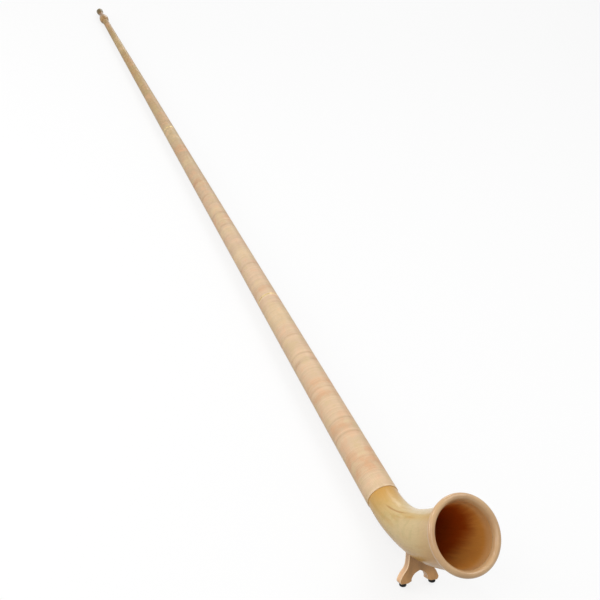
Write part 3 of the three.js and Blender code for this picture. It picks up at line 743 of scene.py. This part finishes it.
# %% Ride and replace
PIECES = [
    (trunk, "bell_section", "lacquered_spruce", ["bell_shell_left", "bell_shell_right"]),
    (rim, "bell_section", "rim_wood", ["rim_ring"]),
    (bell_binding, "bell_section", "rattan", ["bell_wrap", "bell_wrap_end"]),
    (bell_socket, "bell_section", "brass", ["bell_socket"]),
    (foot, "bell_section", "foot_wood", ["foot_board"]),
    (pads[0], "bell_section", "black_rubber", ["pad_left"]),
    (pads[1], "bell_section", "black_rubber", ["pad_right"]),
    (middle_binding, "middle_section", "rattan", ["middle_wrap"]),
    (middle_tenon, "middle_section", "brass", ["middle_tenon"]),
    (middle_socket, "middle_section", "brass", ["middle_socket"]),
    (middle_seals[0], "middle_section", "black_rubber", ["middle_seal_upper"]),
    (middle_seals[1], "middle_section", "black_rubber", ["middle_seal_lower"]),
    (hand_binding, "hand_section", "rattan", ["hand_wrap"]),
    (hand_tenon, "hand_section", "brass", ["hand_tenon"]),
    (hand_seals[0], "hand_section", "black_rubber", ["hand_seal_upper"]),
    (hand_seals[1], "hand_section", "black_rubber", ["hand_seal_lower"]),
    (collar, "hand_section", "turned_wood", ["mouth_collar"]),
    (bush, "hand_section", "brass", ["receiver_bush"]),
    (mouthpiece, "mouthpiece", "turned_wood", ["mouthpiece"]),
]
for piece, body, slot, nodes in PIECES:
    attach(piece, body)
    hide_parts(*nodes)

# %% [markdown]
# ## Mixing finishes
# A finish is a small sum: a base colour, plus grain, plus wear. Written as Python expressions it reads
# like that sum, so one class stands for a value in the node tree, and its operators add Math nodes. Any
# other node comes from one method, with its settings first and then what goes into its sockets.

# %% Node expressions


def tint(r, g, b):
    """An sRGB colour, 0 to 255, as the linear colour that Blender works in."""
    line = lambda c: c / 12.92 if c <= 0.04045 else ((c + 0.055) / 1.055) ** 2.4
    return (line(r / 255), line(g / 255), line(b / 255), 1)


class Wire:
    """A value in a finish. Expressions on it add Math nodes."""

    def __init__(self, finish, socket):
        self.finish, self.socket = finish, socket

    def math(self, operation, *others):
        return self.finish.node("Math", {"operation": operation}, dict(enumerate((self, *others))))

    def __add__(self, other):
        return self.math("ADD", other)

    def __sub__(self, other):
        return self.math("SUBTRACT", other)

    def __rsub__(self, other):
        return self.finish.node("Math", {"operation": "SUBTRACT"}, {0: other, 1: self})

    def __mul__(self, other):
        return self.math("MULTIPLY", other)

    def __truediv__(self, other):
        return self.math("DIVIDE", other)

    def __pow__(self, other):
        return self.math("POWER", other)

    __radd__ = __add__
    __rmul__ = __mul__

    def step(self, low, high):
        """0 below low, 1 above high and smooth between."""
        return self.finish.node("MapRange", {"interpolation_type": "SMOOTHSTEP"},
                                {"Value": self, "From Min": low, "From Max": high})


class Finish:
    """One material, from its node tree up."""

    def __init__(self, name, roughness, **constants):
        self.material = bpy.data.materials.new(name)
        self.material.use_nodes = True
        self.tree = self.material.node_tree
        self.shader = next(n for n in self.tree.nodes if n.type == "BSDF_PRINCIPLED")
        self.shader.inputs["Roughness"].default_value = roughness
        for key, value in constants.items():
            self.shader.inputs[key.replace("_", " ").title().replace("Ior", "IOR")].default_value = value

    def node(self, kind, settings=None, sockets=None, out=0):
        made = self.tree.nodes.new("ShaderNode" + kind)
        for key, value in (settings or {}).items():
            if key == "stops":
                ramp = made.color_ramp
                while len(ramp.elements) < len(value):
                    ramp.elements.new(1)
                for element, (at, colour) in zip(ramp.elements, value):
                    element.position, element.color = at, colour
            else:
                setattr(made, key, value)
        for key, value in (sockets or {}).items():
            if isinstance(value, Wire):
                self.tree.links.new(value.socket, made.inputs[key])
            else:
                made.inputs[key].default_value = value
        return Wire(self, made.outputs[out])

    def place(self):
        """The point's place, moved back to the straight horn's own axes."""
        coordinates = self.node("TexCoord", out="Object")
        return self.node("Mapping", {"vector_type": "TEXTURE"}, {
            "Vector": coordinates, "Location": REST_PLACE, "Rotation": (0, -REST_TILT, 0)})

    def split(self, vector):
        node = self.node("SeparateXYZ", None, {"Vector": vector}).socket.node
        return [Wire(self, node.outputs[i]) for i in range(3)]

    def join(self, x, y, z):
        return self.node("CombineXYZ", None, {0: x, 1: y, 2: z})

    def noise(self, vector, scale, detail=2, roughness=0.5):
        return self.node("TexNoise", None, {"Vector": vector, "Scale": scale, "Detail": detail,
                                            "Roughness": roughness})

    def blend(self, low, high, share):
        return self.node("Mix", {"data_type": "RGBA"}, {0: share, 6: low, 7: high}, out=2)

    def shade(self, colour, factor):
        """A colour made lighter or darker by a value around 1."""
        return self.node("VectorMath", {"operation": "SCALE"}, {"Vector": colour, "Scale": factor})

    def finish(self, colour, bump=None, depth=0, roughness=None):
        self.tree.links.new(colour.socket, self.shader.inputs["Base Color"])
        if roughness is not None:
            self.tree.links.new(roughness.socket, self.shader.inputs["Roughness"])
        if bump is not None:
            normal = self.node("Bump", None, {"Height": bump, "Distance": depth, "Strength": 1.0})
            self.tree.links.new(normal.socket, self.shader.inputs["Normal"])
        print(self.material.name, "has", len(self.tree.nodes), "nodes")
        return self.material


def dress(material, *pieces):
    """Gives pieces one finish and takes any other away."""
    for piece in pieces:
        piece.data.materials.clear()
        piece.data.materials.append(material)


# %% [markdown]
# ## Lacquered spruce
# The bent trunk shows long pale grain under a clear lacquer. It is honey-coloured where the bend
# starts, paler in the bell with khaki clouds, warmer again towards the rim, and golden underneath. A
# dark line of grain crosses the bend. A painted shadow darkens the trunk just behind the rim ring, where
# the ring meets it, and painted shade makes the underside a little darker. The grain reads the straight
# places that were stored before the bend, so it runs along the horn: it changes fast round the trunk and
# slowly along it. The lacquer's polish stays on the upper side, and fades below, where it would mirror
# nothing but the white floor.

# %% Lacquered spruce
RUN = 2.2


def along_grain(finish, vector):
    """Direction round the axis and a slow run along it, for grain that follows the trunk."""
    x, y, z = finish.split(vector)
    r = (y * y + z * z) ** 0.5
    return x, finish.join(x * RUN, y / r, z / r)


spruce = Finish("lacquered_spruce", 0.26, coat_roughness=0.1, specular_ior_level=0.12)
straw, tan, khaki = tint(208, 180, 124), tint(198, 160, 96), tint(180, 160, 98)
warm, gold, honey = tint(194, 148, 88), tint(214, 160, 84), tint(202, 150, 70)
dark_grain, rim_shadow_brown = tint(160, 104, 42), tint(116, 76, 40)
LINE_TURN, LINE_START, FINE_DEPTH = 2.55, 0.919, 0.2 * MM

straight = spruce.node("Attribute", {"attribute_name": "straight"}, out="Vector")
x, round_it = along_grain(spruce, straight)
_, y, z = spruce.split(straight)
angle = y.math("ARCTAN2", z)
top = angle.math("COSINE")
streaks = spruce.noise(round_it, 3.2, 5, 0.55)
fine = spruce.noise(round_it, 30, 3, 0.65)
mottle = spruce.noise(straight, 34, 4, 0.6)
colour = spruce.blend(straw, tan, streaks.step(0.48, 0.72))
colour = spruce.blend(colour, khaki, mottle.step(0.48, 0.66) * 0.4)
rimward = x.step(rim_seat - 110 * MM, rim_seat - 20 * MM) * (0.5 + 0.4 * (1 - top.step(-0.8, 0.2)))
colour = spruce.blend(colour, warm, rimward)
under = 1 - top.step(-0.75, -0.15)
colour = spruce.blend(colour, gold, under * (0.55 + 0.4 * mottle))
bendward = (1 - (x + streaks * (80 * MM)).step(20 * MM, 150 * MM)) * (0.5 + 0.45 * top.step(-0.3, 0.8))
colour = spruce.blend(colour, honey, bendward)
off_line = (angle - x * LINE_TURN + LINE_START).math("ABSOLUTE")
line = (1 - off_line.step(0.02, 0.08)) * x.step(50 * MM, 80 * MM) * (1 - x.step(120 * MM, 190 * MM))
colour = spruce.blend(colour, dark_grain, line * 0.55)
# Painted shade: the underside is made a tenth darker than the sides and the top.
colour = spruce.shade(colour, (0.83 + 0.22 * fine + 0.12 * mottle) * (0.9 + 0.1 * top.step(-0.9, -0.1)))
# Painted shadow, not a cut groove: the trunk is darkened just behind the rim ring, where the ring meets
# it.
groove = x.step(rim_seat - 7 * MM, rim_seat - 2 * MM)
colour = spruce.blend(colour, rim_shadow_brown, groove * 0.6)
spruce_material = spruce.finish(colour, fine, FINE_DEPTH)
polish = 0.3 * top.step(-0.5, 0.3)
spruce.tree.links.new(polish.socket, spruce.shader.inputs["Coat Weight"])

# %% [markdown]
# The bore is lacquered too, and light reaches it only through the bell. Its warm brown is painted darker
# deeper in and on its upper wall, as painted shade where the light reaches least. It grows lighter
# towards the mouth of the bell, and its last two centimetres are as pale as the ring that they run into.

# %% Bore
bore_wood = Finish("bore_wood", 0.3, coat_weight=0.3, coat_roughness=0.1)
amber, shaded_bore_brown, pale_lip = tint(214, 150, 70), tint(168, 76, 14), tint(214, 164, 106)
straight = bore_wood.node("Attribute", {"attribute_name": "straight"}, out="Vector")
x, round_it = along_grain(bore_wood, straight)
_, y, z = bore_wood.split(straight)
top = y.math("ARCTAN2", z).math("COSINE")
streaks = bore_wood.noise(round_it, 7, 4, 0.55)
fine = bore_wood.noise(round_it, 34, 3, 0.6)
# Painted shade: the bore darkens deeper in and on its upper wall, where the light reaches least.
painted_bore_shade = 1 - (x + streaks * (50 * MM) - top * (50 * MM)).step(rim_seat - 85 * MM, rim_seat - 10 * MM)
colour = bore_wood.blend(amber, shaded_bore_brown, painted_bore_shade)
colour = bore_wood.shade(colour, 0.84 + 0.14 * fine + 0.18 * streaks)
pale = (x + fine * (6 * MM)).step(rim_seat - 26 * MM, rim_seat - 5 * MM)
colour = bore_wood.blend(colour, pale_lip, pale)
dress(spruce_material, trunk)
trunk.data.materials.append(bore_wood.finish(colour, fine, FINE_DEPTH))
for i in inside_faces:
    trunk.data.polygons[i].material_index = 1

# %% [markdown]
# ## Rim wood
# The moulding is turned from a pinkish wood, so close-grained that it shows clouds rather than lines.
# One broad noise makes the clouds, and a fine one the pores.

# %% Rim wood
rim_wood = Finish("rim_wood", 0.3, coat_weight=0.5, coat_roughness=0.1, specular_ior_level=0.35)
here = rim_wood.place()
cloudy = rim_wood.noise(here, 14, 3, 0.5)
fine = rim_wood.noise(here, 160, 2, 0.6)
shaded, lit = tint(194, 154, 110), tint(208, 170, 124)
colour = rim_wood.blend(shaded, lit, cloudy.step(0.35, 0.65))
colour = rim_wood.shade(colour, 0.94 + 0.12 * fine)
SOFT_DEPTH = 0.1 * MM
dress(rim_wood.finish(colour, fine, SOFT_DEPTH), rim)

# %% [markdown]
# ## Rattan
# Split cane is pale and satin, and no two lengths are quite the same colour, so the tube shows bands. A
# point's number of turns is its distance along the tube in pitches less its angle round it. The whole
# part of that tells the turns apart, and colour changes with the distance along the cane. Some
# stretches of the tube stand out, and the lists give where they are, in mm from the bend.

# %% Lengths of cane that stand out
RUDDY = [(-2650, -2590), (-2515, -2485), (-1800, -1755), (-1545, -1490), (-1290, -1235), (-862, -842),
         (-412, -392), (-362, -340), (-245, -214), (-138, -58)]
PALE = [(-2900, -2710), (-1975, -1850), (-1690, -1650), (-1340, -1312), (-1210, -1180),
        (-1080, -1030), (-760, -665)]
DARK = [(-2686, -2668), (-1532, -1520), (-1430, -1422), (-1306, -1296), (-1230, -1222), (-1168, -1162),
        (-990, -984), (-778, -772), (-616, -610), (-530, -524), (-503, -494), (-382, -376),
        (-256, -250), (-203, -195)]
# The last light stretch, from -6 to 2 mm by the bend, is painted light: it pales the last turns where the
# end of the binding casts a shadow line.
LIGHTER_CANE_AND_PAINTED_LIGHT = [(-1262, -1256), (-820, -810), (-6, 2)]
print(len(RUDDY) + len(PALE) + len(DARK) + len(LIGHTER_CANE_AND_PAINTED_LIGHT), "stretches of other cane")

# %% [markdown]
# The ground tone is greener and darker near the mouth end and paler towards the bell: partly the cane's
# own colour, and partly painted shade for the light that falls off along the tube. Over that ground tone
# come lengths of darker cane, the stretches of the lists, pinkish and khaki patches, and last a slight
# difference from turn to turn with the fibres. A stretch is never an even ring, so a noise breaks it up.

# %% Rattan
rattan = Finish("rattan", 0.42, coat_weight=0.06, coat_roughness=0.3, specular_ior_level=0.3)
here = rattan.place()
x, y, z = rattan.split(here)
angle = y.math("ARCTAN2", z) / math.tau
count = x / PITCH - angle
whole = (count + 0.5).math("FLOOR")
run = whole + angle
lengths = rattan.node("TexNoise", {"noise_dimensions": "1D"}, {"W": run, "Scale": 0.08, "Detail": 2.0})
each = rattan.node("TexWhiteNoise", {"noise_dimensions": "1D"}, {"W": whole})
fibre = rattan.noise(rattan.join(count * 9, angle * 30, run * 0.1), 1.0, 2, 0.5)
turn_at = whole * PITCH
# The ground tone darkens towards the mouth end, partly as painted shade.
tone = rattan.node("ValToRGB", {"stops": [
    (0.0, tint(168, 134, 84)), (0.2, tint(180, 148, 100)), (0.4, tint(192, 164, 128)),
    (0.65, tint(214, 184, 152)), (1.0, tint(224, 194, 158))]}, {0: 1 + x / TUBE})


def bands(places, soft):
    """1 inside the given stretches of the tube, in mm from the bend, and 0 between them."""
    mask = 0
    for start, end in places:
        low, high = start * MM, end * MM
        inside = turn_at.step(low - soft, low + soft) * (1 - turn_at.step(high - soft, high + soft))
        mask = mask + inside
    return mask


ruddy, pale = tint(206, 148, 100), tint(216, 200, 150)
dark, light = tint(150, 104, 62), tint(246, 226, 190)
pinkish, greenish = tint(228, 174, 134), tint(204, 184, 126)
colour = rattan.blend(tone, rattan.shade(tone, 0.9), lengths.step(0.42, 0.62) * 0.6)
patch = rattan.noise(here, 28, 3, 0.6)
for places, soft, towards, share in (
        (RUDDY, 9 * MM, ruddy, 0.3), (PALE, 12 * MM, pale, 0.22),
        (DARK, 3 * MM, dark, 0.2), (LIGHTER_CANE_AND_PAINTED_LIGHT, 2 * MM, light, 0.3)):
    colour = rattan.blend(colour, towards, bands(places, soft) * patch.step(0.34, 0.6) * (1.4 * share))
colour = rattan.blend(colour, pinkish, patch.step(0.5, 0.66) * 0.28)
colour = rattan.blend(colour, greenish, (1 - patch).step(0.5, 0.66) * 0.24)
colour = rattan.shade(colour, 0.93 + 0.07 * each + 0.08 * fibre)
dress(rattan.finish(colour, fibre, SOFT_DEPTH), bell_binding, middle_binding, hand_binding)

# %% [markdown]
# ## Foot wood
# The front and the back of the board are brown, and the sawn edges paler, which the attribute on the
# faces tells apart: partly the wood's own tone, and partly painted shade on the faces under the belly of
# the bell and painted light on the edges. The hooves are painted lighter than the neck, as painted light
# against the shade of the belly above them. A pale line is painted along the corners of the sawn edges
# as their highlight: the corners are found by their distance from the board's middle plane.

# %% Foot wood
foot_wood = Finish("foot_wood", 0.4, coat_weight=0.15, coat_roughness=0.25, specular_ior_level=0.3)
lit_edge_wood, shaded_face_wood, edge_highlight_tone = tint(208, 168, 130), tint(186, 140, 90), tint(238, 206, 166)
HOOF_TOP, LEG_TOP, GRAIN_DEPTH = 15 * MM, 50 * MM, 0.3 * MM
coordinates = foot_wood.node("TexCoord", out="Object")
x, y, z = foot_wood.split(coordinates)
grain = foot_wood.noise(foot_wood.join(x * 60, y * 60, z * 6), 1.0, 4, 0.6)
facing = foot_wood.node("Attribute", {"attribute_name": "facing"}, out="Fac")
# Paler sawn edges and browner faces: partly the wood's own tone, partly painted light on the edges and
# painted shade on the faces under the bell.
colour = foot_wood.blend(lit_edge_wood, shaded_face_wood, facing.step(0.3, 0.9))
# Painted light: the hooves are made lighter than the neck, against the shade of the bell's belly above
# them.
colour = foot_wood.shade(colour, 1.45 - 0.5 * z.step(HOOF_TOP, LEG_TOP))
colour = foot_wood.blend(colour, foot_wood.shade(colour, 0.8), grain.step(0.35, 0.7))
middle_plane = board.dot(ON_GROUND @ foot_origin)
depth = foot_wood.node("VectorMath", {"operation": "DOT_PRODUCT"}, {0: coordinates, 1: board},
                       out="Value")
off_middle = (depth - middle_plane).math("ABSOLUTE")
# Painted highlight: a pale line along the corners of the sawn edges.
edge = off_middle.step(FOOT_T / 2 - 5 * MM, FOOT_T / 2 - 2 * MM) * (1 - facing.step(0.8, 0.97))
colour = foot_wood.blend(colour, edge_highlight_tone, edge * 0.8)
dress(foot_wood.finish(colour, grain, GRAIN_DEPTH), foot)

# %% [markdown]
# ## Turned wood
# The collar is of a plain brown wood with its grain along the horn. Such a grain comes from a noise
# whose place is stretched across the horn far more than along it, and one helper makes it for all three
# finishes that have it.

# %% Turned wood


def lengthwise(finish, along, across):
    """The run along the horn, and a grain that follows it."""
    x, y, z = finish.split(finish.place())
    return x, finish.noise(finish.join(x * along, y * across, z * across), 1.0, 4, 0.6)


turned_wood = Finish("turned_wood", 0.3, coat_weight=0.25, coat_roughness=0.12, specular_ior_level=0.3)
_, grain = lengthwise(turned_wood, 14, 130)
colour = turned_wood.blend(tint(180, 142, 90), tint(150, 112, 64), grain.step(0.35, 0.7))
dress(turned_wood.finish(colour, grain, SOFT_DEPTH), collar)

# %% [markdown]
# ## Mouthpiece wood
# The cup is dark and olive-brown, and the neck is as light as the collar. Both have the same grain, so
# two pairs of colours share it, and the run along the horn leads from one pair to the other.

# %% Mouthpiece wood
dark_wood = Finish("mouthpiece_wood", 0.3, coat_weight=0.2, coat_roughness=0.08, specular_ior_level=0.2)
CUP_SHOULDER = 16 * MM
x, grain = lengthwise(dark_wood, 14, 150)
cup_colour = dark_wood.blend(tint(130, 110, 58), tint(98, 78, 38), grain.step(0.35, 0.7))
neck_colour = dark_wood.blend(tint(168, 130, 84), tint(136, 98, 56), grain.step(0.35, 0.7))
colour = dark_wood.blend(cup_colour, neck_colour, x.step(cup_end - CUP_SHOULDER, cup_end))
dress(dark_wood.finish(colour, grain, SOFT_DEPTH), mouthpiece)

# %% [markdown]
# ## Brass
# Tenons, sockets and the receiver are brass, seen as thin lines at the joints and in full when the horn
# is apart. Brass dulls in clouds, so one noise varies both its colour and its roughness.

# %% Brass
brass = Finish("brass", 0.3, metallic=1.0)
cloudy = brass.noise(brass.place(), 60, 3, 0.6)
colour = brass.blend(tint(222, 198, 140), tint(200, 170, 108), cloudy.step(0.4, 0.7))
brass_material = brass.finish(colour, roughness=0.26 + 0.16 * cloudy)
dress(brass_material, middle_tenon, hand_tenon, bell_socket, middle_socket, bush)

# %% [markdown]
# ## Rubber
# Pads and seal rings are black rubber. It is never quite black: fine dust lightens it in specks, and
# the same noise as a bump takes its shine away.

# %% Rubber
rubber = Finish("black_rubber", 0.6, specular_ior_level=0.25)
dust = rubber.noise(rubber.place(), 400, 3, 0.6)
colour = rubber.blend(tint(14, 14, 14), tint(28, 27, 26), dust.step(0.45, 0.75))
dress(rubber.finish(colour, dust, SOFT_DEPTH), *pads, *middle_seals, *hand_seals)

# %% [markdown]
# ## Wood that is left from the frame
# The shells of the two upper sections and the dowels of the foot keep their solids. They show only
# when the horn is apart, and get plain sawn spruce in their material slots.

# %% Sawn spruce
sawn = Finish("sawn_spruce", 0.55)
_, grain = lengthwise(sawn, 6, 160)
colour = sawn.blend(tint(214, 184, 134), tint(186, 148, 96), grain.step(0.35, 0.7))
sawn_material = sawn.finish(colour, grain, GRAIN_DEPTH)
for name in ("middle_shell_left", "middle_shell_right", "hand_shell_left", "hand_shell_right",
             "foot_dowel_left", "foot_dowel_right"):
    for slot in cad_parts[name].material_slots:
        slot.material = sawn_material

# %% [markdown]
# ## Floor and light
# A studio cut-out has a white ground. The floor gives white to the camera and to reflections, and only
# a little of that is light on the object. It is part lamp and part matt paint, so the horn's shadow
# still shows on it.

# %% Floor
FLOOR_SIZE, FLOOR_GLOW = 60, 0.8
bpy.ops.object.select_all(action="DESELECT")
bpy.ops.mesh.primitive_plane_add(size=FLOOR_SIZE, location=(0, 0, 0))
floor = bpy.context.object
floor.name = "floor"
paper = Finish("paper", 0.9)
seen = paper.node("LightPath", out="Is Camera Ray").math(
    "MAXIMUM", paper.node("LightPath", out="Is Glossy Ray")).math(
    "MAXIMUM", paper.node("LightPath", out="Is Transmission Ray"))
paint = paper.blend(tint(150, 148, 145), tint(245, 245, 245), seen)
paper.tree.links.new(paint.socket, paper.shader.inputs["Base Color"])
glow = paper.node("Emission", None, {"Color": (1, 1, 1, 1), "Strength": 1.0})
matt = Wire(paper, paper.shader.outputs[0])
both = paper.node("MixShader", None, {0: seen * FLOOR_GLOW, 1: matt, 2: glow})
output = next(n for n in paper.tree.nodes if n.type == "OUTPUT_MATERIAL")
paper.tree.links.new(both.socket, output.inputs["Surface"])
dress(paper.material, floor)
print("floor", FLOOR_SIZE, "m square")

# %% [markdown]
# The world behind the floor is white too. Its Light Path node tells which rays look at it: the camera's,
# glossy and see-through ones find full white, and the light it gives is weaker.

# %% World
WORLD_LIGHT = 0.5
world = bpy.data.worlds.new("studio")
bpy.context.scene.world = world
world.use_nodes = True
tree = world.node_tree
background = next(n for n in tree.nodes if n.type == "BACKGROUND")
path = tree.nodes.new("ShaderNodeLightPath")
looks = path.outputs["Is Camera Ray"]
for ray in ("Is Transmission Ray", "Is Glossy Ray"):
    larger = tree.nodes.new("ShaderNodeMath")
    larger.operation = "MAXIMUM"
    tree.links.new(looks, larger.inputs[0])
    tree.links.new(path.outputs[ray], larger.inputs[1])
    looks = larger.outputs[0]
level = tree.nodes.new("ShaderNodeMapRange")
level.inputs["To Min"].default_value = WORLD_LIGHT
level.inputs["To Max"].default_value = 1.0
tree.links.new(looks, level.inputs["Value"])
background.inputs["Color"].default_value = (1, 1, 1, 1)
tree.links.new(level.outputs[0], background.inputs["Strength"])
print("the world lights the horn with a strength of", WORLD_LIGHT)

# %% [markdown]
# Five soft lamps light the horn. One stands above the camera to its right, one low at the side, and a
# broad one in front. A narrow lamp above the tube draws the gleam of a window on the lip of the rim, and
# a tall one far behind the mouth end lays a highlight along the tube. At these powers a colour renders
# about as it is written.

# %% Lamps


def lamp(name, towards, distance, size, power, aim, height=None):
    """A soft lamp, square or with a height of its own, that shines on a point from one direction."""
    direction = Vector(towards).normalized()
    turn = direction.to_track_quat("Z", "Y").to_euler()
    bpy.ops.object.light_add(type="AREA", location=Vector(aim) + direction * distance, rotation=turn)
    made = bpy.context.object
    made.name = made.data.name = name
    made.data.shape = "RECTANGLE" if height else "SQUARE"
    made.data.size = size
    if height:
        made.data.size_y = height
    made.data.energy = power


middle = Vector((0.6, 0, 0.1))
lamp("top", VIEW_RIGHT * 0.9 + VIEW_UP * 0.9 - VIEW * 0.5, distance=5, size=2.4, power=54, aim=middle)
lamp("side", (-0.3, -0.88, 0.3), distance=5, size=2, power=62, aim=(1.5, 0, 0.1))
lamp("window", (-0.58, -0.52, 0.63), distance=4, size=0.4, height=1.1, power=20, aim=(1.72, 0, 0.18))
lamp("front", -VIEW - VIEW_RIGHT * 0.3 + Vector((0, 0, 0.4)), distance=6, size=3.5, power=77, aim=middle)
lamp("back", (-0.87, 0.25, 0.42), distance=9, size=2.4, height=6.5, power=105,
     aim=ON_GROUND @ Vector((0.05, 0, 0)))
print("lamps:", sorted(light.name for light in bpy.data.lights))

bpy.context.scene.view_settings.view_transform = "Standard"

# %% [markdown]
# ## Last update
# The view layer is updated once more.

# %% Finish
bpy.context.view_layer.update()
